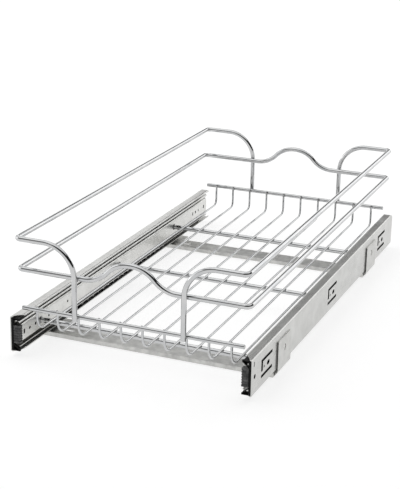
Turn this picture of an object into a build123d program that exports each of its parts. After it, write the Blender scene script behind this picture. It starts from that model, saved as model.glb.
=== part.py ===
from build123d import *
from math import atan, sin, tan
import os

# Pull-out wire basket on two ball-bearing slides, held by two cross rails.
# Millimetres. X runs across, Y from the front (-Y) to the back (+Y), Z up.
# The origin is on the cabinet floor, under the middle of the part.
# In a slide's section, "depth" runs inwards from the slide's outer face,
# and "height" runs up from the slide's centre line.

# ---- Slides: overall ----
slide_length = 550.0
slide_height = 42.0
slide_bottom = 5.0            # lower edge of the slides above the cabinet floor
slide_half_width = 143.0      # from the middle of the part to a slide's outer face
front_setback = 2.5           # middle member stops short of the slide's front end
rear_setback = 8.0            # moving members stop short of its back end

# ---- Slides: sheet sections ----
cabinet_wall = 1.2
moving_wall = 1.1             # middle and drawer members
cabinet_depth = 12.0          # outer face to the tip of the flange
cabinet_lip = 1.1
middle_tip_gap = 0.8          # middle member's lip, behind the cabinet member's
middle_lip = 1.1
drawer_web_recess = 1.5       # drawer member's web, behind the cabinet member's lip
sheet_bend = 1.4              # at the middle of the sheet
cage_sheet = 0.4
cage_bend = 0.8
cage_gap = 0.3                # air on each side of a cage's web

# ---- Slides: balls and cages ----
ball_diameter = 4.0
ball_running = 0.05           # air between a ball and each race
ball_seat = 0.05              # air between a ball and its hole in the cage
ball_pitch = 14.0
balls_per_row = 18
cage_end_margin = 6.0         # from the last ball to the end of the cage
cage_reach = 1.2              # cage flange past the balls
cage_notch_length = 6.0       # notches in the flange's edge, between the balls
cage_notch_depth = 2.4

# ---- Slides: openings in the webs ----
front_tab_setback = 27.0      # lanced tabs, from the slide's front end
middle_tab_place = -17.0      # front end of the middle tab
rear_tab_setback = 38.0       # and from the slide's back end
tab_length = 34.0
tab_height = 17.5             # between the middles of the two long slots
tab_slot = 3.4
tab_upright = 12.0            # length of the upright slot at the tab's front end
tab_upright_slot = 5.0        # and its width
tab_screw_place = 21.5
tab_screw_hole = 5.0          # height of the oblong screw hole
tab_screw_slot = 8.0          # and its length along the slide
tab_pilot_place = 9.0
tab_pilot_hole = 3.0
front_hole_place = 7.5        # from the cabinet member's front end
front_hole_diameter = 5.2
front_slot_place = 5.0
front_slot_raise = 14.6
front_slot_width = 1.8
front_slot_height = 6.0
trim_length = 14.0            # wedge cut off the cabinet member's flanges at the front
trim_depth = 9.0              # from the flange's tip inwards
trim_overrun = 0.1            # the cutter's share past the sheet at both ends
front_web_holes = (           # drawer member: from the slide's front end, width, height
    (12.5, 3.2, 6.0),
    (25.0, 3.6, 3.6),
    (38.0, 3.6, 3.6),
    (69.0, 3.0, 6.0),
    (114.5, 3.0, 3.0),
)
rear_web_holes = (            # and from its back end, width, height
    (58.0, 2.6, 5.0),
    (48.5, 4.0, 4.0),
    (38.0, 2.6, 3.6),
    (18.5, 4.0, 5.0),
)
stop_gap = 0.5                # moving members to the stop tab
stop_reach = 4.0
stop_height = 12.0
rear_corner = 5.0             # rounded back corners of the cabinet member

# ---- Plastic pieces at the slides' front ends ----
plastic_seat = 0.05           # air to the member that a plastic piece sits on
plastic_air = 0.3             # air to the members that pass it
nose_arm = 1.1                # thickness of an arm's outer edge
nose_tip_height = 1.95        # height of an arm's tip
nose_strut = 1.1              # thickness of the sloping strut
ear_length = 11.0             # bumper inside the outer races, behind the nose
ear_start = 3.4               # depth at which an ear starts
leaf_margin = 1.7             # leaf outside the middle member's web, from the member's edges
cap_length = 6.0              # end cap in front of the drawer member
cap_proud = 1.5               # past the drawer member's face
plug_length = 10.0            # end cap inside the drawer member
plug_corner = 1.0
cap_grooves = 6
cap_groove_height = 1.2
cap_groove_depth = 0.6

# ---- Cross rails ----
rail_sheet = 1.5
rail_width = 36.0
front_rail_setback = 66.5     # front rail's front edge, from the slides' front end
rear_rail_setback = 102.5     # rear rail's back edge, from their back end
rail_bend = 2.25              # at the middle of the sheet
bracket_width = 42.0
bracket_setback = 10.0        # bracket plate behind the rail's front edge
bracket_top = 38.0
bracket_corner = 3.0
bracket_root = 16.0           # width of the foot under a slide
relief = 1.5                  # cut beside the bend
slot_half_spacing = 116.0     # screw slots, from the middle of the rail
slot_setback = 22.0           # and from its front edge
slot_length = 12.0
slot_width = 4.8
rivet_height = 24.5
rivet_shank = 5.0
rivet_head = 7.6
rivet_head_thickness = 0.6
rivet_sink = 0.4              # head below the plate's face
rivet_air = 0.05
rivet_dish_radius = 3.1       # hollow in the head
rivet_dish_depth = 1.7

# ---- Basket wires ----
rail_wire = 6.0               # upper rails, lower rail and cross wires
rim_wire = 5.0
floor_wire = 2.8
weld_sink = 0.4               # how far two welded wires melt into each other
basket_half_depth = 272.0     # to the middle of the upper rails' wire
upper_rail_height = 137.7
upper_rail_half_width = 134.2
lower_rail_height = 101.1
lower_rail_half_width = 134.9
rail_corner = 5.5
post_half_spacing = 64.0
post_bend = 36.8
post_overhang = 1.0           # post below the rim wire
hump_half_width = 55.0
hump_rise = 23.5
hump_arc_share = 0.95         # the rest of the hump's slope is straight
rim_height = 56.5
rim_half_length = 131.0
floor_wires = 10
floor_wire_pitch = 25.6
leg_overhang = 1.0            # leg above the middle of the rim wire
front_leg_bend = 16.0
rear_leg_bend = 9.0
front_cross_setback = 47.6    # cross wires, from the basket's front plane
middle_cross_place = -21.3
rear_cross_setback = 120.9    # and from its back plane

# ---- Worked out: slides ----
half_length = slide_length / 2
slide_middle = slide_bottom + slide_height / 2
ball_gap = ball_diameter + 2 * ball_running
cabinet_inside = slide_height / 2 - cabinet_wall      # half height inside the channel
middle_half = cabinet_inside - ball_gap               # half height of the middle member
middle_inside = middle_half - moving_wall
drawer_half = middle_inside - ball_gap                # half height of the drawer member
outer_cage_web = cabinet_wall + cage_gap
middle_web = outer_cage_web + cage_sheet + cage_gap
inner_cage_web = middle_web + moving_wall + cage_gap
drawer_edge = inner_cage_web + cage_sheet + cage_gap
drawer_face = cabinet_depth - drawer_web_recess
middle_depth = cabinet_depth - middle_tip_gap
ball_depth = (middle_web + moving_wall + middle_depth) / 2
cage_depth = ball_depth + ball_diameter / 2 + cage_reach
member_front = -half_length + front_setback
member_rear = half_length - rear_setback
drawer_front = -half_length + cap_length
tab_starts = (
    -half_length + front_tab_setback,
    middle_tab_place,
    half_length - rear_tab_setback - tab_length,
)
web_holes = [(-half_length + setback, width, height) for setback, width, height in front_web_holes]
web_holes += [(half_length - setback, width, height) for setback, width, height in rear_web_holes]
rail_fronts = {
    "front": -half_length + front_rail_setback,
    "rear": half_length - rear_rail_setback - rail_width,
}
nose_outer = cabinet_wall + plastic_air
nose_inner = drawer_edge - plastic_air                # the drawer member passes inside the spine
nose_tip = cabinet_depth - plastic_air
nose_half = cabinet_inside - plastic_air
ear_tip = cabinet_depth - cabinet_wall - plastic_air  # behind the cabinet member's lip
leaf_half_height = middle_half - leaf_margin

# ---- Worked out: basket ----
lower_rail_plane = basket_half_depth - rail_wire + weld_sink
rim_plane = basket_half_depth - (rail_wire + rim_wire) / 2 + weld_sink
leg_plane = rim_plane - (rim_wire + floor_wire) / 2 + weld_sink
floor_height = slide_middle + (rail_wire + floor_wire) / 2 - weld_sink
post_bottom = rim_height - rim_wire / 2 - post_overhang
cross_wires = {
    "front": front_cross_setback - basket_half_depth,
    "middle": middle_cross_place,
    "rear": basket_half_depth - rear_cross_setback,
}


# ---- Shapes used by several pieces ----

def bent_sheet(path, bend, thickness, y_front, y_rear):
    """Sheet bent along (depth, height) points of the left slide's section, drawn along Y."""
    corners = [(depth - slide_half_width, slide_middle + height) for depth, height in path]
    section = Plane.XZ * trace(FilletPolyline(*corners, radius=bend), line_width=thickness)
    return extrude(section, amount=y_front - y_rear).moved(Location((0, y_front, 0)))


def block(x_range, y_range, z_range):
    """Box between two opposite corners."""
    ranges = (x_range, y_range, z_range)
    size = [high - low for low, high in ranges]
    middle = [(high + low) / 2 for low, high in ranges]
    return Pos(*middle) * Box(*size)


def slide_block(depth_range, y_range, height_range):
    """Box in the left slide's section, drawn along Y."""
    x_range = [depth - slide_half_width for depth in depth_range]
    z_range = [slide_middle + height for height in height_range]
    return block(x_range, y_range, z_range)


def x_rod(x_range, y, z, width, height=None):
    """Round or oblong rod along X: its width lies along Y and its height along Z."""
    if height is None or height == width:
        outline = Circle(width / 2)
    elif height > width:
        outline = SlotOverall(height, width, rotation=90)
    else:
        outline = SlotOverall(width, height)
    start = Plane(origin=(x_range[0], y, z), x_dir=(0, 1, 0), z_dir=(1, 0, 0))
    return extrude(start * outline, amount=x_range[1] - x_range[0])


def bent_wire(points, bends, diameter, close=False):
    """Round wire: straight runs joined by tangent arcs."""
    path = FilletPolyline(*points, radius=bends, close=close)
    start = Plane(origin=path @ 0, z_dir=path % 0)
    return sweep(start * Circle(diameter / 2), path=path)


def mirrored(piece):
    """The right-hand copy of a piece drawn for the left side."""
    return mirror(piece, about=Plane.YZ)


# ---- Slide members, drawn for the left side ----

def web_cutter(y, z, width, height=None):
    """Rod that passes through any web of the left slide."""
    return x_rod((-slide_half_width - rail_sheet, -slide_half_width + cabinet_depth), y, z, width, height)


def lanced_tab(y_start):
    """Slots round three sides of a tab, with its screw hole and its pilot hole."""
    depths = (-1, cabinet_wall + 1)
    long_slot = (y_start, y_start + tab_length)
    top = tab_height / 2
    half_slot = tab_slot / 2
    cuts = slide_block(depths, long_slot, (top - half_slot, top + half_slot))
    cuts += slide_block(depths, long_slot, (-top - half_slot, -top + half_slot))
    cuts += slide_block(depths, (y_start, y_start + tab_upright_slot), (top - tab_upright, top))
    cuts += web_cutter(y_start + tab_screw_place, slide_middle, tab_screw_slot, tab_screw_hole)
    cuts += web_cutter(y_start + tab_pilot_place, slide_middle, tab_pilot_hole)
    return cuts


def rivet_place(rail_front):
    """Y of the rivet: the middle of the bracket plate."""
    return rail_front + bracket_setback + bracket_width / 2


def cabinet_outline():
    """Side view of the cabinet member, with its back corners rounded."""
    corners = [
        (-half_length, slide_bottom),
        (half_length, slide_bottom),
        (half_length, slide_bottom + slide_height),
        (-half_length, slide_bottom + slide_height),
    ]
    outline = make_face(FilletPolyline(*corners, radius=[0, rear_corner, rear_corner, 0], close=True))
    return extrude(Plane(origin=(-slide_half_width, 0, 0), x_dir=(0, 1, 0), z_dir=(1, 0, 0)) * outline,
                   amount=cabinet_depth)


def flange_trim():
    """Wedge that trims both flanges at the front, from the web's side back to the flange's tip."""
    over = trim_overrun
    tip = cabinet_depth + over * trim_depth - slide_half_width
    front = -half_length - over * trim_length
    corners = [
        (tip, front),
        (tip, front + (1 + 2 * over) * trim_length),
        (tip - (1 + 2 * over) * trim_depth, front),
    ]
    wedge = make_face(Polyline(*corners, close=True))
    return extrude(wedge, amount=slide_bottom + slide_height)


def cabinet_member():
    """Outer channel of a slide, fixed to the cross rails."""
    half = cabinet_wall / 2
    lip = cabinet_depth - half
    flange = slide_height / 2 - half
    lip_end = cabinet_inside - cabinet_lip
    path = [(lip, lip_end), (lip, flange), (half, flange), (half, -flange), (lip, -flange), (lip, -lip_end)]
    member = bent_sheet(path, sheet_bend, cabinet_wall, -half_length, half_length)
    member = member & cabinet_outline()
    for y_start in tab_starts:
        member -= lanced_tab(y_start)
    member -= web_cutter(-half_length + front_hole_place, slide_middle, front_hole_diameter)
    front_slot = (-half_length + front_slot_place, slide_middle + front_slot_raise)
    member -= web_cutter(*front_slot, front_slot_width, front_slot_height)
    member -= flange_trim()
    for rail_front in rail_fronts.values():
        member -= web_cutter(rivet_place(rail_front), rivet_height, rivet_shank + 2 * rivet_air)
    stop_depths = (half, cabinet_wall + stop_reach)
    stop_places = (member_rear + stop_gap, member_rear + stop_gap + cabinet_wall)
    stop_heights = (-stop_height / 2, stop_height / 2)
    return member + slide_block(stop_depths, stop_places, stop_heights)


def middle_member():
    """Middle channel, carried by the outer balls."""
    half = moving_wall / 2
    lip = middle_depth - half
    flange = middle_half - half
    web = middle_web + half
    lip_end = middle_inside - middle_lip
    path = [(lip, lip_end), (lip, flange), (web, flange), (web, -flange), (lip, -flange), (lip, -lip_end)]
    return bent_sheet(path, sheet_bend, moving_wall, member_front, member_rear)


def drawer_member():
    """Inner channel, carried by the inner balls: its web faces the basket."""
    half = moving_wall / 2
    flange = drawer_half - half
    web = drawer_face - half
    path = [(drawer_edge, flange), (web, flange), (web, -flange), (drawer_edge, -flange)]
    member = bent_sheet(path, sheet_bend, moving_wall, drawer_front, member_rear)
    for place, width, height in web_holes:
        member -= web_cutter(place, slide_middle, width, height)
    return member


def ball_places():
    """Y of the balls in one row, centred on the slide."""
    first = -(balls_per_row - 1) * ball_pitch / 2
    return [first + number * ball_pitch for number in range(balls_per_row)]


def ball_cage(web_depth, row_height):
    """Sheet cage with a flange along each row of balls."""
    half = cage_sheet / 2
    web = web_depth + half
    path = [(cage_depth, row_height), (web, row_height), (web, -row_height), (cage_depth, -row_height)]
    places = ball_places()
    y_front = places[0] - cage_end_margin
    y_rear = places[-1] + cage_end_margin
    cage = bent_sheet(path, cage_bend, cage_sheet, y_front, y_rear)
    ball_x = ball_depth - slide_half_width
    hole = Cylinder(ball_diameter / 2 + ball_seat, slide_height)
    heights = (-slide_height / 2, slide_height / 2)
    depths = (cage_depth - cage_notch_depth, cage_depth + 1)
    cuts = [Pos(ball_x, place, slide_middle) * hole for place in places]
    for place in places[:-1]:
        notch_middle = place + ball_pitch / 2
        notch = (notch_middle - cage_notch_length / 2, notch_middle + cage_notch_length / 2)
        cuts.append(slide_block(depths, notch, heights))
    return cage - cuts


def ball_rows(row_height):
    """Two rows of separate balls, above and below the slide's centre line."""
    ball_x = ball_depth - slide_half_width
    balls = []
    for place in ball_places():
        for height in (row_height, -row_height):
            balls.append(Pos(ball_x, place, slide_middle + height) * Sphere(ball_diameter / 2).solid())
    return Compound(children=balls)


# ---- Plastic pieces, drawn for the left side ----

def section_plate(corners, y_front, y_rear):
    """Plate with a straight-sided outline given by (depth, height) points, drawn along Y."""
    points = [(depth - slide_half_width, slide_middle + height) for depth, height in corners]
    outline = Plane.XZ * make_face(Polyline(*points, close=True))
    return extrude(outline, amount=y_front - y_rear).moved(Location((0, y_front, 0)))


def front_bumper():
    """Bumper on the middle member's front end.
    Its nose has a spine and two arms, each braced by a sloping strut round a triangular hole.
    Behind the nose an ear fills each outer race, and a leaf lies outside the middle member's web."""
    window = drawer_half + plastic_air
    tip_low = nose_half - nose_tip_height
    slope = (tip_low - window) / (nose_tip - nose_inner)
    strut_rise = nose_strut * (1 + slope ** 2) ** 0.5
    hole_top = nose_half - nose_arm
    hole_tip = nose_inner + (hole_top - window - strut_rise) / slope
    nose_rear = member_front - plastic_seat
    ear_rear = nose_rear + ear_length
    leaf_heights = (-leaf_half_height, leaf_half_height)
    bumper = slide_block((nose_outer, nose_inner), (-half_length, nose_rear), (-nose_half, nose_half))
    bumper += slide_block((nose_outer, middle_web - plastic_seat), (nose_rear, ear_rear), leaf_heights)
    for side in (1, -1):
        arm = [(nose_inner, window), (nose_tip, tip_low), (nose_tip, nose_half), (nose_inner, nose_half)]
        hole = [(nose_inner, window + strut_rise), (hole_tip, hole_top), (nose_inner, hole_top)]
        arm = [(depth, side * height) for depth, height in arm]
        hole = [(depth, side * height) for depth, height in hole]
        ear_heights = sorted((side * (middle_half + plastic_seat), side * nose_half))
        bumper += section_plate(arm, -half_length, nose_rear)
        bumper -= section_plate(hole, -half_length, nose_rear)
        bumper += slide_block((ear_start, ear_tip), (nose_rear, ear_rear), ear_heights)
    return bumper


def end_cap():
    """Cap on the drawer member's front end, grooved across its front and its side, with a plug."""
    cap_depths = (nose_inner + plastic_air, drawer_face + cap_proud)
    cap = slide_block(cap_depths, (-half_length, drawer_front), (-drawer_half, drawer_half))
    plug_half = drawer_half - moving_wall - plastic_seat
    plug_depths = (cap_depths[0], drawer_face - moving_wall - plastic_seat)
    plug = slide_block(plug_depths, (drawer_front, drawer_front + plug_length), (-plug_half, plug_half))
    plug = fillet(plug.edges().filter_by(Axis.Y).group_by(Axis.X)[-1], plug_corner)
    pitch = 2 * drawer_half / (cap_grooves + 1)
    for number in range(cap_grooves):
        middle = -drawer_half + (number + 1) * pitch
        heights = (middle - cap_groove_height / 2, middle + cap_groove_height / 2)
        cap -= slide_block(cap_depths, (-half_length, -half_length + cap_groove_depth), heights)
        side_depths = (cap_depths[1] - cap_groove_depth, cap_depths[1])
        cap -= slide_block(side_depths, (-half_length, drawer_front), heights)
    return cap + plug


# ---- Cross rails and rivets ----

def cross_rail(front):
    """Floor strip with a turned-up front lip and a bracket plate outside each slide."""
    rear = front + rail_width
    plate_front = front + bracket_setback
    plate_rear = plate_front + bracket_width
    half = rail_sheet / 2
    plate_x = slide_half_width + half
    corners = [(-plate_x, bracket_top), (-plate_x, half), (plate_x, half), (plate_x, bracket_top)]
    section = Plane.XZ * trace(FilletPolyline(*corners, radius=rail_bend), line_width=rail_sheet)
    rail = extrude(section, amount=-bracket_width).moved(Location((0, plate_front, 0)))
    top_corners = rail.edges().filter_by(Axis.X).group_by(Axis.Z)[-1]
    rail = fillet(top_corners, bracket_corner)
    root_x = slide_half_width - bracket_root
    rail -= block((-root_x, root_x), (plate_front, plate_rear), (0, rail_sheet))
    flat_x = plate_x - rail_bend
    rail += block((-flat_x, flat_x), (front, rear), (0, rail_sheet))
    for side in (-1, 1):
        toe_x = sorted((side * flat_x, side * slide_half_width))
        rail += block(toe_x, (front, plate_front - relief), (0, rail_sheet))
    rail += block((-slide_half_width, slide_half_width), (front, front + rail_sheet), (0, slide_bottom))
    for side in (-1, 1):
        slot = Pos(side * slot_half_spacing, front + slot_setback, 0) * SlotOverall(slot_length, slot_width)
        rail -= extrude(slot, amount=rail_sheet)
    hole = web_cutter(rivet_place(front), rivet_height, rivet_shank + 2 * rivet_air)
    plate_face = -slide_half_width - rail_sheet
    seat_x = (plate_face, plate_face + rivet_sink + rivet_head_thickness)
    seat = x_rod(seat_x, rivet_place(front), rivet_height, rivet_head + 2 * rivet_air)
    return rail - hole - seat - mirrored(hole) - mirrored(seat)


def rivet(rail_front):
    """Rivet with a dished head, through the left bracket plate and the cabinet member's web."""
    place = rivet_place(rail_front)
    head_face = -slide_half_width - rail_sheet + rivet_sink
    head = x_rod((head_face, head_face + rivet_head_thickness), place, rivet_height, rivet_head)
    shank_end = cabinet_wall - slide_half_width
    shank = x_rod((head_face + rivet_head_thickness, shank_end), place, rivet_height, rivet_shank)
    along_x = Plane(origin=(head_face, place, rivet_height), x_dir=(0, 1, 0), z_dir=(1, 0, 0))
    dish = Cone(rivet_dish_radius, 0, rivet_dish_depth, align=(Align.CENTER, Align.CENTER, Align.MIN))
    return head + shank - along_x * dish


# ---- Basket wires ----

def upper_rail():
    """Left upper rail: one wire that ends in a hanging post at the front and at the back."""
    stations = []
    for plane in (-basket_half_depth, basket_half_depth):
        post_foot = (-post_half_spacing, plane, post_bottom)
        post_head = (-post_half_spacing, plane, upper_rail_height)
        corner = (-upper_rail_half_width, plane, upper_rail_height)
        stations.append([post_foot, post_head, corner])
    points = stations[0] + stations[1][::-1]
    return bent_wire(points, [post_bend, rail_corner, rail_corner, post_bend], rail_wire)


def lower_rail():
    """Closed ring, with a hump of four equal arcs in the middle of its front and its back."""
    half_turn = atan(hump_rise / hump_half_width)
    full_bend = hump_half_width / (2 * sin(2 * half_turn))
    shoulder = full_bend * tan(half_turn)
    crest = lower_rail_height + hump_rise
    foot_x = hump_half_width - shoulder
    hump = [(-foot_x, lower_rail_height), (-shoulder, crest), (shoulder, crest), (foot_x, lower_rail_height)]
    hump_bends = [full_bend * hump_arc_share] * len(hump)
    side = lower_rail_half_width
    plane = lower_rail_plane
    front = [(-side, -plane, lower_rail_height)] + [(x, -plane, z) for x, z in hump]
    back = [(side, plane, lower_rail_height)] + [(-x, plane, z) for x, z in hump]
    points = front + [(side, -plane, lower_rail_height)] + back + [(-side, plane, lower_rail_height)]
    half_ring = [rail_corner] + hump_bends + [rail_corner]
    return bent_wire(points, half_ring + half_ring, rail_wire, close=True)


def bottom_wire(x):
    """Floor wire with a leg bent up at both ends, welded inside the rim wires."""
    leg_top = rim_height + leg_overhang
    points = [
        (x, -leg_plane, leg_top),
        (x, -leg_plane, floor_height),
        (x, leg_plane, floor_height),
        (x, leg_plane, leg_top),
    ]
    return bent_wire(points, [front_leg_bend, rear_leg_bend], floor_wire)


def straight_wire(half_span, y, z, diameter):
    """Straight wire across the basket."""
    return x_rod((-half_span, half_span), y, z, diameter)


# ---- The nodes ----

def slide_nodes():
    """Pieces of both slides, by node name."""
    outer_row = middle_half + ball_gap / 2
    inner_row = drawer_half + ball_gap / 2
    left = {
        "cabinet_member": cabinet_member(),
        "middle_member": middle_member(),
        "drawer_member": drawer_member(),
        "outer_ball_cage": ball_cage(outer_cage_web, outer_row),
        "outer_balls": ball_rows(outer_row),
        "inner_ball_cage": ball_cage(inner_cage_web, inner_row),
        "inner_balls": ball_rows(inner_row),
        "front_bumper": front_bumper(),
        "end_cap": end_cap(),
        "front_rivet": rivet(rail_fronts["front"]),
        "rear_rivet": rivet(rail_fronts["rear"]),
    }
    nodes = {}
    for name, piece in left.items():
        nodes[name + "_left"] = piece
        nodes[name + "_right"] = mirrored(piece)
    return nodes


def rail_nodes():
    """The two cross rails."""
    return {name + "_cross_rail": cross_rail(front) for name, front in rail_fronts.items()}


def basket_nodes():
    """The welded wires of the basket."""
    left_rail = upper_rail()
    nodes = {
        "upper_rail_left": left_rail,
        "upper_rail_right": mirrored(left_rail),
        "lower_rail": lower_rail(),
        "rim_wire_front": straight_wire(rim_half_length, -rim_plane, rim_height, rim_wire),
        "rim_wire_rear": straight_wire(rim_half_length, rim_plane, rim_height, rim_wire),
    }
    web_x = slide_half_width - drawer_face
    for name, y in cross_wires.items():
        nodes["cross_wire_" + name] = straight_wire(web_x, y, slide_middle, rail_wire)
    for number in range(floor_wires):
        x = (number - (floor_wires - 1) / 2) * floor_wire_pitch
        nodes[f"floor_wire_{number + 1:02d}"] = bottom_wire(x)
    return nodes


os.makedirs("parts", exist_ok=True)
for node_name, piece in {**slide_nodes(), **rail_nodes(), **basket_nodes()}.items():
    export_step(piece, f"parts/{node_name}.step")
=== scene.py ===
from math import acos, ceil, cos, pi, radians, sin, tan
import bpy
import numpy as np
from mathutils import Matrix, Vector


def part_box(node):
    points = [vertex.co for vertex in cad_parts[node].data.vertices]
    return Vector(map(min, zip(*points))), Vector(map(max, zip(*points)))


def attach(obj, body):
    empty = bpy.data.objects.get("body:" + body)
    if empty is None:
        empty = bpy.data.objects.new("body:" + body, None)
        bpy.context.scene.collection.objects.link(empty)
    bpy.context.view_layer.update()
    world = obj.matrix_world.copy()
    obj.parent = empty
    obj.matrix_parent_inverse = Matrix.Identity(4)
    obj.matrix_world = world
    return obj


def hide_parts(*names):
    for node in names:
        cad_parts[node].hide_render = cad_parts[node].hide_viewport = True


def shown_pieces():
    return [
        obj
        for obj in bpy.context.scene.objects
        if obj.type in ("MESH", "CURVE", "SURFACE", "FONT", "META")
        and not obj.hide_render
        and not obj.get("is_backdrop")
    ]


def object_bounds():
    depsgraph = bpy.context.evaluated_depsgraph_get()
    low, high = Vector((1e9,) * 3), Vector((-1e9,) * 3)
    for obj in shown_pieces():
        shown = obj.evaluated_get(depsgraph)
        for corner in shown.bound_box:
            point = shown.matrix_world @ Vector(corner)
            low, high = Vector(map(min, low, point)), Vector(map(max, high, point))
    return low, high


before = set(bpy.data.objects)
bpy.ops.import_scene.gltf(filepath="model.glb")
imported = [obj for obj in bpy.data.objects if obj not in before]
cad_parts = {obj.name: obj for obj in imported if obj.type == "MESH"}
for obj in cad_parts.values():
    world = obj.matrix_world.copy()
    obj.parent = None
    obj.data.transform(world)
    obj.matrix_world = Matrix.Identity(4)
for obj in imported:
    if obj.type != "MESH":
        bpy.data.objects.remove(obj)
cad_low, cad_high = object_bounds()

# Pull-out wire basket on two ball-bearing slides. Metres, in the part's own frame:
# X runs across, Y from the front (-Y) to the back (+Y), Z up from the cabinet floor.

# ---- Wires: diameters, and bend radii to the centre line ----
RAIL_WIRE = 0.006              # upper rails, lower rail and cross wires
RIM_WIRE = 0.005
FLOOR_WIRE = 0.0028
WELD_SINK = 0.0004             # how far two welded wires melt into each other
CUT_EDGE = 0.0005              # rounding of a sheared wire end
POST_BEND = 0.0368             # upper rail, at the top of a post
RAIL_CORNER = 0.0055           # upper and lower rails, at the basket's corners
HUMP_HALF_WIDTH = 0.055
HUMP_ARC_SHARE = 0.95          # of a hump's full bend, so that its arcs don't quite meet
FRONT_LEG_BEND = 0.016
REAR_LEG_BEND = 0.009
SIDES = ("left", "right")
RIM_WIRES = ("rim_wire_front", "rim_wire_rear")
CROSS_WIRES = ("cross_wire_front", "cross_wire_middle", "cross_wire_rear")

# ---- How finely wires and welds are divided ----
ARC_STEP = radians(3)
LEAST_ARC_STEPS = 4
WIRE_SIDES = 28
FLOOR_WIRE_SIDES = 20
STRAIGHT_STATIONS = 9          # along a wire with no bend
CUT_EDGE_STEPS = 5
CUT_FACE_RINGS = (0.55, 0.96)  # rings on a sheared end, as shares of its flat face's radius
BEAD_ROWS = 9
BEAD_COLUMNS = 14
COLLAR_ROWS = 8
FRAME_START = (0.3, 0.5, 0.8)  # a direction that no wire starts along

# ---- Welds: half sizes of the squeezed-out metal ----
FLOOR_WELD = (0.0021, 0.0023, 0.0009)
LEG_WELD = (0.0020, 0.0009, 0.0024)
POST_WELD = (0.0030, 0.0010, 0.0028)
COLLAR_REACH = 0.0016          # fillet of weld round a cross wire's end, along the wire
COLLAR_FLARE = 0.0013          # and beyond its radius
WELD_LUMP = 0.07               # height of a bead's lumps, as a share of its own size
BEAD_TURN = 2.4                # radians by which the lumps turn from one bead to the next

# ---- Camera: the photograph's viewpoint ----
PHOTO_HEIGHT = 489             # the longer side, in pixels
FOCAL_PIXELS = 1338.172
SENSOR = 36.0                  # millimetres, along the longer side
CAMERA_AZIMUTH = radians(22.37)
CAMERA_ELEVATION = radians(18.883)
CAMERA_ROLL = radians(1.088)
CAMERA_PLACE = Vector((0.570475, -1.461817, 0.602626))

# ---- Studio ----
FLOOR_HALF = 60.0
FLOOR_DROP = 0.0004            # floor just below the cross rails, so that they cast a contact shadow
FLOOR_TONE = 0.42
FLOOR_GLOW = (0.73, 0.94)      # the floor's own white, under the part and far from it
FLOOR_GLOW_REACH = (0.5, 6.0)  # and the distances from the origin between which it grows
WHITE = (1, 1, 1, 1)
WORLD_LEVEL = 0.26             # strength of the world's light
WORLD_DARK = 0.015             # the studio's unlit right-hand side
WORLD_TURN = (-0.30, 0.12)     # X of the direction over which the level falls to the dark one
BACKDROP_TOP = (0.17, 0.23)    # Z of the direction over which the low white backdrop ends
LAMPS = (                      # name, middle, target, width, height, radiance
    ("top_light", (-0.2, 0.3, 2.3), (0, 0, 0), 3.8, 3.8, 1.05),
    ("left_light", (-2.5, -0.4, 1.1), (0, 0, 0.1), 2.6, 1.7, 1.1),
    ("back_left_light", (-1.9, 2.5, 1.1), (0, 0, 0.1), 1.7, 1.2, 0.85),
    ("back_right_light", (1.10, 2.6, 1.2), (0, 0, 0.1), 2.1, 1.3, 1.5),
)

# ---- Where the sheet metal's cut walls and other tones lie: painted shade on cut walls and on the middle members' webs ----
WEB_SHEET = 0.0012             # thickness of the cabinet member's web
FLANGE_CLEAR = 0.0026          # the web's flat stretch starts this far inside the flanges
END_CLEAR = 0.0005             # and this far inside the web's ends
PLATE_CLEAR = 0.0001           # bracket plate outside the slide's face
PLATE_LOW = 0.004              # bracket plate's flat stretch starts above the bend
SHADED_WEB_DEPTH = 0.002          # depth of the painted shade on a middle member's web, from its outer face inwards
EDGE_FACING = 0.5              # cosine of 60 degrees, between a cut wall's normal and X at the least
ALL_NORMALS = 2.0              # upward share that every normal stays under
SIDE_NORMALS = 0.5             # upward share that leaves out the faces that look up

# ---- Finishes ----
MOTTLE_SPREAD = (0.3, 0.7)     # the mottle's values between which a tone runs from dark to light
SMUDGE_SPREAD = (0.45, 0.75)   # the patches' values between which a smudge runs from clean to dull
GRAIN_SHARE = 0.45             # of the grain in the roughness, beside the smudges
ALONG_SLIDE = (1500.0, 22.0, 1500.0)
ALONG_RAIL = (30.0, 1100.0, 1100.0)
ALONG_WIRE = (40.0, 900.0, 900.0)
SHEET_GRAIN = 0.00001          # relief of the rolled grain
SHEET_MOTTLE = 60.0
SHEET_ANISOTROPY = 0.3
ZINC_DARK = (0.55, 0.55, 0.535)
ZINC_LIGHT = (0.65, 0.65, 0.635)
ZINC_ROUGHNESS = (0.24, 0.42)
PLASTIC_GRAIN = 2600.0
PLASTIC_RELIEF = 0.00005
PLASTIC_RELIEF_SHARE = 0.6
RUBBED_PATCH = 160.0
RUBBED_AMOUNT = 1.6


# ==== Shapes ====

def unit(vector):
    """The vector divided by its own length."""
    return vector / np.linalg.norm(vector, axis=-1, keepdims=True)


def corner_arc(before, corner, after, bend):
    """Arc of radius bend, tangent to both runs at a corner.
    Its centre lies on the bisector, bend / sin(half the angle) from the corner. A point on it is
    centre + (sin((1 - t) a) * start + sin(t a) * end) / sin(a), with a the angle that the wire turns."""
    back, ahead = unit(before - corner), unit(after - corner)
    half = acos(float(np.clip(back @ ahead, -1, 1))) / 2
    centre = corner + unit(back + ahead) * bend / sin(half)
    start = corner + back * bend / tan(half) - centre
    end = corner + ahead * bend / tan(half) - centre
    turn = pi - 2 * half
    t = np.linspace(0, 1, max(LEAST_ARC_STEPS, ceil(turn / ARC_STEP)) + 1)[:, None]
    return centre + (np.sin((1 - t) * turn) * start + np.sin(t * turn) * end) / sin(turn)


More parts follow.
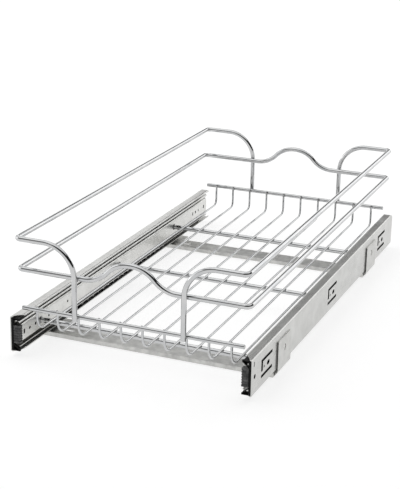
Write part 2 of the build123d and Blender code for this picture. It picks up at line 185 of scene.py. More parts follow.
def bent_line(corners, bends, closed=False):
    """Centre line of a bent wire: straight runs joined by tangent arcs, as an array of points."""
    corners = np.array(corners, float)
    count = len(corners)
    places = range(count) if closed else range(1, count - 1)
    arcs = [corner_arc(corners[i - 1], corners[i], corners[(i + 1) % count], bend)
            for i, bend in zip(places, bends)]
    if not closed:
        arcs = [corners[:1]] + arcs + [corners[-1:]]
    return np.concatenate(arcs)


def carried_frames(line, closed):
    """A tangent and two cross directions at each point. The tangent halves the angle between the runs
    either side; the first cross direction is the last one with its share along the tangent taken out.
    On a closed line the turn left over at the end is spread evenly along it."""
    if closed:
        runs = unit(np.roll(line, -1, 0) - line)
        tangent = unit(runs + np.roll(runs, 1, 0))
    else:
        runs = unit(np.diff(line, axis=0))
        tangent = unit(np.concatenate([runs[:1], runs[1:] + runs[:-1], runs[-1:]]))
    first = np.cross(tangent[0], FRAME_START)
    side = [unit(first)]
    for direction in tangent[1:]:
        side.append(unit(side[-1] - direction * (side[-1] @ direction)))
    if closed:
        back = unit(side[-1] - tangent[0] * (side[-1] @ tangent[0]))
        left_over = np.arctan2(np.cross(back, side[0]) @ tangent[0], back @ side[0])
        spread = left_over * np.arange(len(line))[:, None] / len(line)
        side = np.array(side)
        side = side * np.cos(spread) + np.cross(tangent, side) * np.sin(spread)
    side = np.array(side)
    return tangent, side, np.cross(tangent, side)


def new_piece(name, points, faces, nodes=()):
    """Mesh object at the origin that rides on the basket and stands for its nodes."""
    mesh = bpy.data.meshes.new(name)
    mesh.from_pydata(points.tolist(), [], faces)
    mesh.polygons.foreach_set("use_smooth", np.ones(len(mesh.polygons), bool))
    mesh.update()
    piece = bpy.data.objects.new(name, mesh)
    bpy.context.scene.collection.objects.link(piece)
    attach(piece, "basket")
    if nodes:
        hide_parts(*nodes)
    return piece


def grid_faces(rows, columns, closed_rows=False):
    """Quads of a grid whose columns close on themselves, row by row, turned outwards."""
    row = np.arange(rows if closed_rows else rows - 1)[:, None]
    column = np.arange(columns)[None, :]
    above = (row + 1) % rows
    beside = (column + 1) % columns
    quads = np.stack([row * columns + column, row * columns + beside,
                      above * columns + beside, above * columns + column], -1)
    return quads.reshape(-1, 4)


def wire(name, line, diameter, nodes, closed=False, around=WIRE_SIDES):
    """Round wire: the circle radius * (cos a, sin a) carried along a centre line.
    An open wire's ends are sheared flat, with a small rounded edge that closes in a pole.
    The attribute wire_place holds (length along the wire, radius cos a, radius sin a)."""
    radius = diameter / 2
    tangent, side, across = carried_frames(line, closed)
    steps = np.linalg.norm(np.diff(line, axis=0), axis=1)
    along = np.concatenate([[0], np.cumsum(steps)])
    size = np.full(len(line), radius)
    if not closed:
        quarter = np.linspace(0, pi / 2, CUT_EDGE_STEPS)
        flat = (radius - CUT_EDGE) * np.array(CUT_FACE_RINGS)
        edge_size = np.concatenate([flat, radius - CUT_EDGE + CUT_EDGE * np.sin(quarter)])
        edge_depth = np.concatenate([[0, 0], CUT_EDGE * (1 - np.cos(quarter))])
        front = line[0] + tangent[0] * edge_depth[:, None]
        rear = line[-1] - tangent[-1] * edge_depth[::-1, None]
        line = np.concatenate([front, line[1:-1], rear])
        size = np.concatenate([edge_size, size[1:-1], edge_size[::-1]])
        along = np.concatenate([edge_depth, along[1:-1], along[-1] - edge_depth[::-1]])
        ends = len(edge_size)
        tangent, side, across = (np.concatenate([np.repeat(a[:1], ends, 0), a[1:-1],
                                                 np.repeat(a[-1:], ends, 0)])
                                 for a in (tangent, side, across))
    angle = np.arange(around) * 2 * pi / around
    ring = side[:, None] * np.cos(angle)[None, :, None] + across[:, None] * np.sin(angle)[None, :, None]
    points = (line[:, None] + ring * size[:, None, None]).reshape(-1, 3)
    place = np.stack(np.broadcast_arrays(along[:, None], size[:, None] * np.cos(angle),
                                         size[:, None] * np.sin(angle)), -1).reshape(-1, 3)
    faces = grid_faces(len(line), around, closed).tolist()
    if not closed:
        first, last = len(points), len(points) + 1
        start = (len(line) - 1) * around
        faces += [[first, (i + 1) % around, i] for i in range(around)]
        faces += [[last, start + i, start + (i + 1) % around] for i in range(around)]
        points = np.concatenate([points, line[:1], line[-1:]])
        place = np.concatenate([place, [[along[0], 0, 0], [along[-1], 0, 0]]])
    piece = new_piece(name, points, faces, nodes)
    attribute = piece.data.attributes.new("wire_place", "FLOAT_VECTOR", "POINT")
    attribute.data.foreach_set("vector", place.astype(np.float32).ravel())


def weld_beads(middles, half_sizes):
    """Squeezed-out metal where wires cross, one closed bead for each weld.
    A point is middle + half size * (sin u cos v, sin u sin v, cos u) * lump, where
    lump = 1 + WELD_LUMP * sin(3 v + k) * sin(u) and k differs from weld to weld."""
    rows, columns = BEAD_ROWS, BEAD_COLUMNS
    u = np.linspace(0, pi, rows)[1:-1, None]
    v = np.arange(columns)[None, :] * 2 * pi / columns
    shape = np.stack(np.broadcast_arrays(np.sin(u) * np.cos(v), np.sin(u) * np.sin(v), np.cos(u)), -1)
    shape = shape.reshape(-1, 3)
    k = np.arange(len(middles))[:, None] * BEAD_TURN
    lump = 1 + WELD_LUMP * np.sin(3 * np.tile(v, (rows - 2, 1)).reshape(-1) + k) \
        * np.repeat(np.sin(u)[:, 0], columns)
    bead = shape[None] * lump[:, :, None]
    poles = np.broadcast_to(np.array([[0, 0, 1.0], [0, 0, -1.0]]), (len(middles), 2, 3))
    bead = np.concatenate([bead, poles], 1)
    points = np.array(middles)[:, None] + bead * np.array(half_sizes)[:, None]
    one = [[a, d, c, b] for a, b, c, d in grid_faces(rows - 2, columns).tolist()]
    top, foot = (rows - 2) * columns, (rows - 2) * columns + 1
    last = (rows - 3) * columns
    one += [[top, i, (i + 1) % columns] for i in range(columns)]
    one += [[foot, last + (i + 1) % columns, last + i] for i in range(columns)]
    each = points.shape[1]
    faces = [[corner + number * each for corner in face] for number in range(len(middles)) for face in one]
    new_piece("weld_beads", points.reshape(-1, 3), faces)


def weld_collars(ends):
    """Fillet of weld round each cross wire's end, on the slide's web.
    Along the wire t runs from the web (0) to the fillet's tip (1); its radius is the wire's radius
    plus flare * (1 - sin(90 degrees * t)), so it curves in to the wire. Inside, it closes on a pole."""
    rows, columns = COLLAR_ROWS, WIRE_SIDES
    t = np.linspace(0, 1, rows)
    radius = RAIL_WIRE / 2 + COLLAR_FLARE * (1 - np.sin(t * pi / 2))
    radius[-1] = RAIL_WIRE / 2 - WELD_SINK
    angle = np.arange(columns) * 2 * pi / columns
    points, faces = [], []
    for x, y, z, inwards in ends:
        ring_x = np.repeat(x + inwards * t * COLLAR_REACH, columns)
        ring_y = y + (radius[:, None] * np.cos(angle)).ravel()
        ring_z = z + (radius[:, None] * np.sin(angle)).ravel()
        start = sum(len(p) for p in points)
        points.append(np.stack([ring_x, ring_y, ring_z], -1))
        points.append(np.array([[x, y, z], [x + inwards * COLLAR_REACH, y, z]]))
        quads = grid_faces(rows, columns)
        fans = [[rows * columns, (i + 1) % columns, i] for i in range(columns)]
        last = (rows - 1) * columns
        fans += [[rows * columns + 1, last + i, last + (i + 1) % columns] for i in range(columns)]
        one = quads.tolist() + fans
        if inwards < 0:
            one = [face[::-1] for face in one]
        faces += [[corner + start for corner in face] for face in one]
    new_piece("weld_collars", np.concatenate(points), faces)


# ==== The basket's wires, placed from the CAD nodes' boxes ====

def upper_rails():
    """Each upper rail: post, bend, side rail, bend, post. The right one mirrors the left one in X."""
    low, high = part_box("upper_rail_left")
    radius = RAIL_WIRE / 2
    half_width, post = -low.x - radius, -high.x + radius
    plane, height, foot = high.y - radius, high.z - radius, low.z
    for side, sign in zip(SIDES, (-1, 1)):
        stations = [[(sign * post, y, foot), (sign * post, y, height), (sign * half_width, y, height)]
                    for y in (-plane, plane)]
        corners = stations[0] + stations[1][::-1]
        line = bent_line(corners, [POST_BEND, RAIL_CORNER, RAIL_CORNER, POST_BEND])
        wire(f"upper_rail_{side}_wire", line, RAIL_WIRE, [f"upper_rail_{side}"])
    return post, plane


def lower_ring():
    """Closed ring with a hump of four equal arcs in the middle of its front and its back.
    With h the hump's half width and r its rise, each arc turns 2 atan(r / h) and the full bend
    is h / (2 sin(2 atan(r / h)))."""
    low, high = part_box("lower_rail")
    radius = RAIL_WIRE / 2
    side, plane, height = high.x - radius, high.y - radius, low.z + radius
    rise = high.z - radius - height
    half_turn = float(np.arctan2(rise, HUMP_HALF_WIDTH))
    full_bend = HUMP_HALF_WIDTH / (2 * sin(2 * half_turn))
    shoulder = full_bend * tan(half_turn)
    foot_x, crest = HUMP_HALF_WIDTH - shoulder, height + rise
    hump = [(-foot_x, height), (-shoulder, crest), (shoulder, crest), (foot_x, height)]
    corners = [(-side, -plane, height)] + [(x, -plane, z) for x, z in hump] + [(side, -plane, height)]
    corners += [(side, plane, height)] + [(-x, plane, z) for x, z in hump] + [(-side, plane, height)]
    half = [RAIL_CORNER] + [full_bend * HUMP_ARC_SHARE] * len(hump) + [RAIL_CORNER]
    wire("lower_rail_wire", bent_line(corners, half * 2, closed=True), RAIL_WIRE, ["lower_rail"], closed=True)
    return height


def straight_wires():
    """Rim wires and cross wires: straight, with sheared ends."""
    places = {}
    for node in RIM_WIRES + CROSS_WIRES:
        diameter = RIM_WIRE if node in RIM_WIRES else RAIL_WIRE
        low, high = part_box(node)
        y, z = (low.y + high.y) / 2, (low.z + high.z) / 2
        stations = np.linspace(low.x, high.x, STRAIGHT_STATIONS)
        line = np.stack(np.broadcast_arrays(stations, y, z), -1)
        wire(node + "_bar", line, diameter, [node])
        places[node] = (high.x, y, z)
    return places


def floor_wires():
    """Each floor wire: leg, bend, floor run, bend, leg."""
    places = []
    for node in [name for name in sorted(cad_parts) if name.startswith("floor_wire_")]:
        low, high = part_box(node)
        radius = FLOOR_WIRE / 2
        x, plane = (low.x + high.x) / 2, high.y - radius
        floor, top = low.z + radius, high.z
        corners = [(x, -plane, top), (x, -plane, floor), (x, plane, floor), (x, plane, top)]
        line = bent_line(corners, [FRONT_LEG_BEND, REAR_LEG_BEND])
        wire(node + "_rod", line, FLOOR_WIRE, [node], around=FLOOR_WIRE_SIDES)
        places.append((x, plane, floor))
    return places


def all_welds(post, post_plane, ring_height, bars, floors):
    """A bead at every crossing of two wires, and a collar at both ends of each cross wire."""
    middles, sizes = [], []
    crossing = floors[0][2] - FLOOR_WIRE / 2 + WELD_SINK / 2
    for x, plane, _ in floors:
        for node in CROSS_WIRES:
            middles.append((x, bars[node][1], crossing))
            sizes.append(FLOOR_WELD)
        for node, sign in zip(RIM_WIRES, (-1, 1)):
            middles.append((x, sign * (plane + FLOOR_WIRE / 2 - WELD_SINK / 2), bars[node][2]))
            sizes.append(LEG_WELD)
    for x in (-post, post):
        for sign in (-1, 1):
            inner = sign * (post_plane - RAIL_WIRE / 2 + WELD_SINK / 2)
            for height in (bars["rim_wire_front"][2], ring_height):
                middles.append((x, inner, height))
                sizes.append(POST_WELD)
    weld_beads(middles, sizes)
    ends = [(sign * bars[node][0], bars[node][1], bars[node][2], -sign)
            for node in CROSS_WIRES for sign in (-1, 1)]
    weld_collars(ends)


# ==== Materials ====

def add(tree, kind, **values):
    """New node of a kind, with its properties and unlinked sockets set by name."""
    made = tree.nodes.new(kind)
    for name, value in values.items():
        if hasattr(made, name):
            setattr(made, name, value)
        else:
            made.inputs[name.replace("_", " ")].default_value = value
    return made


def new_group(name, inputs, outputs):
    """Shader node group with named value or vector sockets."""
    group = bpy.data.node_groups.new(name, "ShaderNodeTree")
    kinds = {"value": "NodeSocketFloat", "vector": "NodeSocketVector"}
    for label, kind, default in inputs:
        socket = group.interface.new_socket(label, in_out="INPUT", socket_type=kinds[kind])
        if default is not None:
            socket.default_value = default
    for label, kind in outputs:
        group.interface.new_socket(label, in_out="OUTPUT", socket_type=kinds[kind])
    return group, group.nodes.new("NodeGroupInput"), group.nodes.new("NodeGroupOutput")


def rolled_grain_group():
    """Fine lines left by rolling or drawing: noise stretched along one direction, and a slow mottle."""
    group, given, out = new_group(
        "rolled_grain",
        [("Place", "vector", None), ("Lines", "vector", (900.0, 25.0, 900.0)),
         ("Mottle Size", "value", 45.0)],
        [("Height", "value"), ("Mottle", "value")])
    stretch = add(group, "ShaderNodeVectorMath", operation="MULTIPLY")
    lines = add(group, "ShaderNodeTexNoise", Scale=1.0, Detail=4.0, Roughness=0.6)
    mottle = add(group, "ShaderNodeTexNoise", Detail=3.0, Roughness=0.55)
    link = group.links.new
    link(given.outputs["Place"], stretch.inputs[0])
    link(given.outputs["Lines"], stretch.inputs[1])
    link(stretch.outputs["Vector"], lines.inputs["Vector"])
    link(given.outputs["Place"], mottle.inputs["Vector"])
    link(given.outputs["Mottle Size"], mottle.inputs["Scale"])
    link(lines.outputs["Fac"], out.inputs["Height"])
    link(mottle.outputs["Fac"], out.inputs["Mottle"])
    return group


def smudge_group():
    """Handling marks: soft patches broken up by fine grain, from 0 (clean) to 1 (dull)."""
    group, given, out = new_group(
        "handling_smudges",
        [("Place", "vector", None), ("Patch Size", "value", 18.0), ("Amount", "value", 0.5)],
        [("Smudge", "value")])
    patches = add(group, "ShaderNodeTexNoise", Detail=2.0)
    fine = add(group, "ShaderNodeTexNoise", Scale=420.0, Detail=3.0)
    edge = add(group, "ShaderNodeMapRange", From_Min=SMUDGE_SPREAD[0], From_Max=SMUDGE_SPREAD[1])
    both = add(group, "ShaderNodeMath", operation="MULTIPLY")
    amount = add(group, "ShaderNodeMath", operation="MULTIPLY")
    link = group.links.new
    link(given.outputs["Place"], patches.inputs["Vector"])
    link(given.outputs["Patch Size"], patches.inputs["Scale"])
    link(given.outputs["Place"], fine.inputs["Vector"])
    link(patches.outputs["Fac"], edge.inputs["Value"])
    link(edge.outputs["Result"], both.inputs[0])
    link(fine.outputs["Fac"], both.inputs[1])
    link(both.outputs["Value"], amount.inputs[0])
    link(given.outputs["Amount"], amount.inputs[1])
    link(amount.outputs["Value"], out.inputs["Smudge"])
    return group


def compare(tree, operation, value, threshold, absolute=False):
    """Math node that compares a value, or its size, with a threshold."""
    if absolute:
        size = add(tree, "ShaderNodeMath", operation="ABSOLUTE")
        tree.links.new(value, size.inputs[0])
        value = size.outputs["Value"]
    test = add(tree, "ShaderNodeMath", operation=operation)
    tree.links.new(value, test.inputs[0])
    tree.links.new(threshold, test.inputs[1])
    return test.outputs["Value"]


def cut_wall_shade_group():
    """Mask of a sheet's cut walls, where painted shade goes: 1 where |x| passes Inner, z lies between Low
    and High, |y| stays under End, the surface faces more than 60 degrees away from X, and the upward
    share of its normal is less than Most Up. It is 0 elsewhere."""
    group, given, out = new_group(
        "painted_cut_wall_shade",
        [("Place", "vector", None), ("Facing", "vector", None), ("Inner", "value", 0.1),
         ("Low", "value", 0.0), ("High", "value", 1.0), ("End", "value", 1.0),
         ("Most Up", "value", ALL_NORMALS), ("Most Facing", "value", EDGE_FACING)],
        [("Edge", "value")])
    place = add(group, "ShaderNodeSeparateXYZ")
    facing = add(group, "ShaderNodeSeparateXYZ")
    group.links.new(given.outputs["Place"], place.inputs["Vector"])
    group.links.new(given.outputs["Facing"], facing.inputs["Vector"])
    tests = [
        compare(group, "GREATER_THAN", place.outputs["X"], given.outputs["Inner"], absolute=True),
        compare(group, "GREATER_THAN", place.outputs["Z"], given.outputs["Low"]),
        compare(group, "LESS_THAN", place.outputs["Z"], given.outputs["High"]),
        compare(group, "LESS_THAN", place.outputs["Y"], given.outputs["End"], absolute=True),
        compare(group, "LESS_THAN", facing.outputs["X"], given.outputs["Most Facing"], absolute=True),
        compare(group, "LESS_THAN", facing.outputs["Z"], given.outputs["Most Up"]),
    ]
    total = tests[0]
    for test in tests[1:]:
        both = add(group, "ShaderNodeMath", operation="MULTIPLY")
        group.links.new(total, both.inputs[0])
        group.links.new(test, both.inputs[1])
        total = both.outputs["Value"]
    group.links.new(total, out.inputs["Edge"])
    return group


def mix_colour(tree, factor, first, second):
    """Mix of two colours, each a socket or a plain colour, by a factor."""
    mix = add(tree, "ShaderNodeMix", data_type="RGBA")
    sockets = [socket for socket in mix.inputs if socket.type == "RGBA"]
    for socket, colour in zip(sockets, (first, second)):
        if isinstance(colour, tuple):
            socket.default_value = (*colour, 1)
        else:
            tree.links.new(colour, socket)
    tree.links.new(factor, mix.inputs["Factor"])
    return [socket for socket in mix.outputs if socket.type == "RGBA"][0]


def metal(name, dark, light, roughness, lines, grain_depth, mottle_size=45.0, smudge=0.5, attribute=None,
          anisotropy=0.0, plate=None, sheared=None):
    """Metal whose tone drifts between two colours with the mottle, whose roughness runs over a range
    with grain and smudges, and whose relief is the rolled grain. A plate is (inner, dark, light): other
    tones where |x| passes inner; on the middle members' webs these are painted shade. Sheared is
    (inner, low, high, end, most up, colour): painted shade, a dark colour on the cut walls where shade falls."""
    material = bpy.data.materials.new(name)
    material.use_nodes = True
    tree = material.node_tree
    tree.nodes.clear()
    link = tree.links.new
    out = add(tree, "ShaderNodeOutputMaterial")
    surface = add(tree, "ShaderNodeBsdfPrincipled", Metallic=1.0, Anisotropic=anisotropy)
    link(surface.outputs["BSDF"], out.inputs["Surface"])
    if attribute:
        source = add(tree, "ShaderNodeAttribute", attribute_name=attribute)
        place = source.outputs["Vector"]
    else:
        place = add(tree, "ShaderNodeTexCoord").outputs["Object"]
    grain = add(tree, "ShaderNodeGroup", node_tree=GRAIN)
    grain.inputs["Lines"].default_value = lines
    grain.inputs["Mottle Size"].default_value = mottle_size
    marks = add(tree, "ShaderNodeGroup", node_tree=SMUDGES)
    marks.inputs["Amount"].default_value = smudge
    link(place, grain.inputs["Place"])
    link(place, marks.inputs["Place"])
    spread = add(tree, "ShaderNodeMapRange", From_Min=MOTTLE_SPREAD[0], From_Max=MOTTLE_SPREAD[1])
    link(grain.outputs["Mottle"], spread.inputs["Value"])
    tone = mix_colour(tree, spread.outputs["Result"], dark, light)
    if plate:
        inner, plate_dark, plate_light = plate
        parts = add(tree, "ShaderNodeSeparateXYZ")
        size = add(tree, "ShaderNodeMath", operation="ABSOLUTE")
        past = add(tree, "ShaderNodeMath", operation="GREATER_THAN")
        past.inputs[1].default_value = inner
        link(place, parts.inputs["Vector"])
        link(parts.outputs["X"], size.inputs[0])
        link(size.outputs["Value"], past.inputs[0])
        plate_tone = mix_colour(tree, spread.outputs["Result"], plate_dark, plate_light)
        tone = mix_colour(tree, past.outputs["Value"], tone, plate_tone)
    if sheared:
        edges = add(tree, "ShaderNodeGroup", node_tree=CUT_WALL_SHADE)
        for label, value in zip(("Inner", "Low", "High", "End", "Most Up"), sheared):
            edges.inputs[label].default_value = value
        link(place, edges.inputs["Place"])
        flat = add(tree, "ShaderNodeNewGeometry").outputs["True Normal"]
        link(flat, edges.inputs["Facing"])
        # Painted shade: the cut walls take a dark colour
        tone = mix_colour(tree, edges.outputs["Edge"], tone, sheared[-1])
    link(tone, surface.inputs["Base Color"])
    rough = add(tree, "ShaderNodeMapRange", To_Min=roughness[0], To_Max=roughness[1])
    sum_marks = add(tree, "ShaderNodeMath", operation="MULTIPLY_ADD")
    sum_marks.inputs[1].default_value = GRAIN_SHARE
    link(grain.outputs["Height"], sum_marks.inputs[0])
    link(marks.outputs["Smudge"], sum_marks.inputs[2])
    link(sum_marks.outputs["Value"], rough.inputs["Value"])
    link(rough.outputs["Result"], surface.inputs["Roughness"])
    relief = add(tree, "ShaderNodeBump", Strength=1.0, Distance=grain_depth)
    link(grain.outputs["Height"], relief.inputs["Height"])
    link(relief.outputs["Normal"], surface.inputs["Normal"])
    return material


def moulded_plastic(name, dark, light, roughness, shine=0.5):
    """Moulded plastic: a fine spark-eroded grain, slightly paler where it is rubbed."""
    material = bpy.data.materials.new(name)
    material.use_nodes = True
    tree = material.node_tree
    tree.nodes.clear()
    link = tree.links.new
    out = add(tree, "ShaderNodeOutputMaterial")
    surface = add(tree, "ShaderNodeBsdfPrincipled", Specular_IOR_Level=shine)
    link(surface.outputs["BSDF"], out.inputs["Surface"])
    place = add(tree, "ShaderNodeTexCoord").outputs["Object"]
    grain = add(tree, "ShaderNodeTexNoise", Scale=PLASTIC_GRAIN, Detail=3.0)
    marks = add(tree, "ShaderNodeGroup", node_tree=SMUDGES)
    marks.inputs["Patch Size"].default_value = RUBBED_PATCH
    marks.inputs["Amount"].default_value = RUBBED_AMOUNT
    link(place, grain.inputs["Vector"])
    link(place, marks.inputs["Place"])
    link(mix_colour(tree, marks.outputs["Smudge"], dark, light), surface.inputs["Base Color"])
    rough = add(tree, "ShaderNodeMapRange", To_Min=roughness[0], To_Max=roughness[1])
    link(grain.outputs["Fac"], rough.inputs["Value"])
    link(rough.outputs["Result"], surface.inputs["Roughness"])
    relief = add(tree, "ShaderNodeBump", Strength=PLASTIC_RELIEF_SHARE, Distance=PLASTIC_RELIEF)
    link(grain.outputs["Fac"], relief.inputs["Height"])
    link(relief.outputs["Normal"], surface.inputs["Normal"])
    return material


def seen_rays(tree):
    """Value that is 1 for what the camera sees directly, in reflections or through glass, and 0 for the
    light that falls on things."""
    rays = add(tree, "ShaderNodeLightPath")
    seen = rays.outputs["Is Camera Ray"]
    for kind in ("Is Glossy Ray", "Is Transmission Ray"):
        either = add(tree, "ShaderNodeMath", operation="MAXIMUM")
        tree.links.new(seen, either.inputs[0])
        tree.links.new(rays.outputs[kind], either.inputs[1])
        seen = either.outputs["Value"]
    return seen


def studio_floor_material():
    """Matt white floor that also shows some of its own white to the camera, in reflections and through
    glass. That share grows with the distance from the origin, so that the far floor is as pale."""
    material = bpy.data.materials.new("studio_floor")
    material.use_nodes = True
    tree = material.node_tree
    tree.nodes.clear()
    link = tree.links.new
    out = add(tree, "ShaderNodeOutputMaterial")
    matt = add(tree, "ShaderNodeBsdfDiffuse", Color=(FLOOR_TONE, FLOOR_TONE, FLOOR_TONE, 1))
    glow = add(tree, "ShaderNodeEmission", Color=WHITE)
    total = add(tree, "ShaderNodeAddShader")
    away = add(tree, "ShaderNodeVectorMath", operation="LENGTH")
    level = add(tree, "ShaderNodeMapRange", From_Min=FLOOR_GLOW_REACH[0], From_Max=FLOOR_GLOW_REACH[1],
                To_Min=FLOOR_GLOW[0], To_Max=FLOOR_GLOW[1])
    link(add(tree, "ShaderNodeTexCoord").outputs["Object"], away.inputs[0])
    link(away.outputs["Value"], level.inputs["Value"])
    share = add(tree, "ShaderNodeMath", operation="MULTIPLY")
    link(seen_rays(tree), share.inputs[0])
    link(level.outputs["Result"], share.inputs[1])
    link(share.outputs["Value"], glow.inputs["Strength"])
    link(matt.outputs["BSDF"], total.inputs[0])
    link(glow.outputs["Emission"], total.inputs[1])
    link(total.outputs["Shader"], out.inputs["Surface"])
    return material


# ==== Studio ====

def studio_floor():
    """Square floor under the part."""
    h = FLOOR_HALF
    points = np.array([(-h, -h, 0), (h, -h, 0), (h, h, 0), (-h, h, 0)], float)
    points[:, 2] = cad_low.z - FLOOR_DROP
    mesh = bpy.data.meshes.new("studio_floor")
    mesh.from_pydata(points.tolist(), [], [[0, 1, 2, 3]])
    floor = bpy.data.objects.new("studio_floor", mesh)
    bpy.context.scene.collection.objects.link(floor)
    mesh.materials.append(studio_floor_material())
    floor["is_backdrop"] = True


def studio_world():
    """Dim world that is dark on the right, with a low white backdrop all round. The backdrop shows to the
    camera, in reflections and through glass, and adds no other light."""
    world = bpy.data.worlds.new("studio")
    bpy.context.scene.world = world
    world.use_nodes = True
    tree = world.node_tree
    background = tree.nodes["Background"]
    background.inputs["Color"].default_value = WHITE
    parts = add(tree, "ShaderNodeSeparateXYZ")
    level = add(tree, "ShaderNodeMapRange", interpolation_type="SMOOTHSTEP", From_Min=WORLD_TURN[0],
                From_Max=WORLD_TURN[1], To_Min=WORLD_LEVEL, To_Max=WORLD_DARK)
    tree.links.new(add(tree, "ShaderNodeTexCoord").outputs["Generated"], parts.inputs["Vector"])
    tree.links.new(parts.outputs["X"], level.inputs["Value"])
    band = add(tree, "ShaderNodeMapRange", interpolation_type="SMOOTHSTEP", From_Min=BACKDROP_TOP[0],
               From_Max=BACKDROP_TOP[1], To_Min=1.0, To_Max=0.0)
    white = add(tree, "ShaderNodeMath", operation="MULTIPLY")
    total = add(tree, "ShaderNodeMath", operation="MAXIMUM")
    tree.links.new(parts.outputs["Z"], band.inputs["Value"])
    tree.links.new(band.outputs["Result"], white.inputs[0])
    tree.links.new(seen_rays(tree), white.inputs[1])
    tree.links.new(white.outputs["Value"], total.inputs[0])
    tree.links.new(level.outputs["Result"], total.inputs[1])
    tree.links.new(total.outputs["Value"], background.inputs["Strength"])


def studio_lamps():
    """Large soft lamps. A lamp of radiance L has the power L * pi * its area."""
    for name, middle, target, width, height, radiance in LAMPS:
        data = bpy.data.lights.new(name, "AREA")
        data.shape = "RECTANGLE"
        data.size, data.size_y = width, height
        data.energy = radiance * pi * width * height
        lamp = bpy.data.objects.new(name, data)
        lamp.location = middle
        lamp.rotation_euler = (Vector(target) - Vector(middle)).to_track_quat("-Z", "Y").to_euler()
        bpy.context.scene.collection.objects.link(lamp)


def studio_camera():
    """The photograph's camera: turned by its azimuth and elevation, then rolled about its own axis."""
    a, e, r = CAMERA_AZIMUTH, CAMERA_ELEVATION, CAMERA_ROLL
    ahead = Vector((-sin(a) * cos(e), cos(a) * cos(e), -sin(e)))
    level = ahead.cross(Vector((0, 0, 1))).normalized()
    upright = level.cross(ahead)
    right = level * cos(r) + upright * sin(r)
    up = upright * cos(r) - level * sin(r)
    data = bpy.data.cameras.new("camera")
    data.sensor_width = SENSOR
    data.lens = FOCAL_PIXELS / PHOTO_HEIGHT * SENSOR
    camera = bpy.data.objects.new("camera", data)
    turn = Matrix((right, up, -ahead)).transposed()
    camera.matrix_world = Matrix.Translation(CAMERA_PLACE) @ turn.to_4x4()
    bpy.context.scene.collection.objects.link(camera)
    bpy.context.scene.camera = camera


# ==== Making it ====

bpy.context.scene.view_settings.view_transform = "Standard"
studio_camera()
studio_world()
studio_lamps()
studio_floor()

post, post_plane = upper_rails()
ring_height = lower_ring()
bars = straight_wires()
floors = floor_wires()
all_welds(post, post_plane, ring_height, bars, floors)

GRAIN = rolled_grain_group()
SMUDGES = smudge_group()
CUT_WALL_SHADE = cut_wall_shade_group()

slide_low, slide_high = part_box("cabinet_member_right")
# Painted shade: near-black colour on the cut walls of the cabinet members' slots and holes
slide_cut_shade = (slide_high.x - WEB_SHEET, slide_low.z + FLANGE_CLEAR, slide_high.z - FLANGE_CLEAR,
              slide_high.y - END_CLEAR, ALL_NORMALS, (0.012, 0.012, 0.012))
plate_face = slide_high.x + PLATE_CLEAR
# Painted shade: dark colour on the bracket plates' cut edges, beside the slide's face
plate_edge_shade = (plate_face, PLATE_LOW, slide_high.z, slide_high.y, SIDE_NORMALS,
              (0.075, 0.075, 0.073))

drawer_low, drawer_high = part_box("drawer_member_right")
# Painted shade: near-black colour on the cut walls of the drawer members' holes
drawer_cut_shade = (0.0, drawer_low.z + FLANGE_CLEAR, drawer_high.z - FLANGE_CLEAR,
               drawer_high.y - END_CLEAR, ALL_NORMALS, (0.02, 0.02, 0.02))
# Painted shade: a near-black tone on the middle members' webs, from their outer face inwards, so that the
# slides' slots and holes look dark inside
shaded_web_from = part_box("middle_member_right")[1].x - SHADED_WEB_DEPTH

chrome = metal("chrome_wire", dark=(0.50, 0.51, 0.52), light=(0.60, 0.60, 0.60), roughness=(0.02, 0.09),
               lines=ALONG_WIRE, grain_depth=0.000004, mottle_size=30.0, smudge=0.35,
               attribute="wire_place")
plated_weld = metal("plated_weld", dark=(0.10, 0.10, 0.10), light=(0.26, 0.26, 0.26), roughness=(0.10, 0.30),
                    lines=(900.0, 900.0, 900.0), grain_depth=0.00003, mottle_size=600.0)
zinc_slide = metal("zinc_slide", dark=ZINC_DARK, light=ZINC_LIGHT, roughness=ZINC_ROUGHNESS,
                   lines=ALONG_SLIDE, grain_depth=SHEET_GRAIN, mottle_size=SHEET_MOTTLE,
                   anisotropy=SHEET_ANISOTROPY, sheared=slide_cut_shade)
# Painted light: the drawer members get a lighter copy of the zinc than the cabinet members, to lift their
# webs out of the shade they sit in
zinc_drawer_painted_light = metal("zinc_drawer_painted_light", dark=(0.66, 0.66, 0.64), light=(0.77, 0.77, 0.75), roughness=(0.30, 0.50),
                    lines=ALONG_SLIDE, grain_depth=SHEET_GRAIN, mottle_size=SHEET_MOTTLE,
                    anisotropy=SHEET_ANISOTROPY, sheared=drawer_cut_shade)
# The plate tone below is painted shade on the middle members' webs
zinc_middle = metal("zinc_middle", dark=ZINC_DARK, light=ZINC_LIGHT, roughness=ZINC_ROUGHNESS,
                    lines=ALONG_SLIDE, grain_depth=SHEET_GRAIN, mottle_size=SHEET_MOTTLE,
                    plate=(shaded_web_from, (0.14, 0.135, 0.12), (0.24, 0.235, 0.22)))
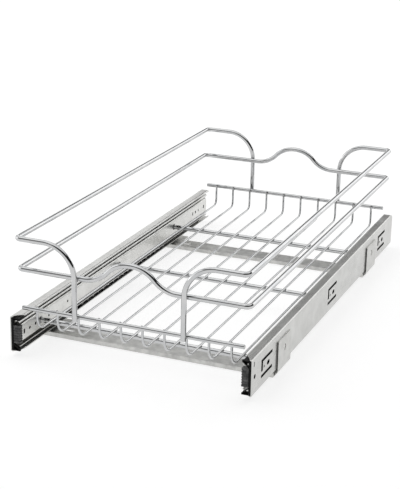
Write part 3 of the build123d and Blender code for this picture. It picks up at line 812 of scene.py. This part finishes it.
zinc_rail = metal("zinc_rail", dark=(0.46, 0.46, 0.45), light=(0.65, 0.65, 0.63), roughness=(0.28, 0.60),
                  lines=ALONG_RAIL, grain_depth=0.00002, mottle_size=110.0, smudge=1.2,
                  plate=(plate_face, (0.58, 0.58, 0.565), (0.67, 0.67, 0.65)), sheared=plate_edge_shade)
cage_steel = metal("cage_steel", dark=(0.07, 0.07, 0.07), light=(0.14, 0.14, 0.135), roughness=(0.30, 0.60),
                   lines=ALONG_SLIDE, grain_depth=SHEET_GRAIN)
ball_steel = metal("ball_steel", dark=(0.70, 0.70, 0.70), light=(0.85, 0.85, 0.85), roughness=(0.04, 0.16),
                   lines=(500.0, 500.0, 500.0), grain_depth=0.000002)
rivet_steel = metal("rivet_steel", dark=(0.60, 0.60, 0.58), light=(0.74, 0.74, 0.72), roughness=(0.18, 0.40),
                    lines=(1400.0, 1400.0, 1400.0), grain_depth=0.00002)
black_plastic = moulded_plastic("black_plastic", dark=(0.003, 0.003, 0.003), light=(0.011, 0.011, 0.011),
                                roughness=(0.38, 0.60), shine=0.14)
grey_plastic = moulded_plastic("grey_plastic", dark=(0.070, 0.070, 0.071), light=(0.34, 0.34, 0.34),
                               roughness=(0.36, 0.60))

FINISHES = (
    ("floor_wire_", chrome), ("cross_wire_", chrome), ("rim_wire_", chrome), ("upper_rail_", chrome),
    ("lower_rail", chrome), ("weld_", plated_weld),
    ("cabinet_member_", zinc_slide), ("middle_member_", zinc_middle), ("drawer_member_", zinc_drawer_painted_light),
    ("front_cross_rail", zinc_rail), ("rear_cross_rail", zinc_rail),
    ("outer_ball_cage_", cage_steel), ("inner_ball_cage_", cage_steel),
    ("outer_balls_", ball_steel), ("inner_balls_", ball_steel),
    ("front_rivet_", rivet_steel), ("rear_rivet_", rivet_steel),
    ("front_bumper_", black_plastic), ("end_cap_", grey_plastic),
)
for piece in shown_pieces():
    finish = next(material for start, material in FINISHES if piece.name.startswith(start))
    piece.data.materials.clear()
    piece.data.materials.append(finish)
